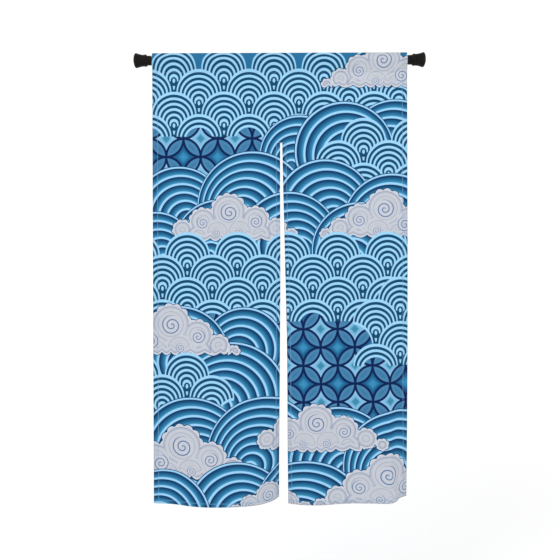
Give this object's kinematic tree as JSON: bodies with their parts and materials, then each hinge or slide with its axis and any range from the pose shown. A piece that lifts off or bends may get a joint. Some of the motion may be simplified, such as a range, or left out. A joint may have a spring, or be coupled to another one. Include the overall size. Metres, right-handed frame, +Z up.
{
  "type": "noren curtain on a curtain pole",
  "caption": "Door curtain of one printed cloth with a long slit up from its foot, hanging by its sewn pocket on a round pole with flared end caps.",
  "frame": {"origin": "middle of the pole's axis", "axes": "+X along the pole to the right of someone facing the printed front, -Y towards that person, +Z up"},
  "size_m": [0.9732, 0.0661, 1.5126],
  "materials": {
    "printed_cloth": "matt plain-weave cloth, printed in blues and pale grey",
    "black_coat": "satin brown-black coat",
    "dark_steel": "blackened steel"
  },
  "bodies": {
    "root": {"curtain_cloth": "printed_cloth", "pole": "black_coat", "finial_left": "black_coat", "finial_right": "black_coat", "set_screw_left": "dark_steel", "set_screw_right": "dark_steel"}
  },
  "joints": []
}
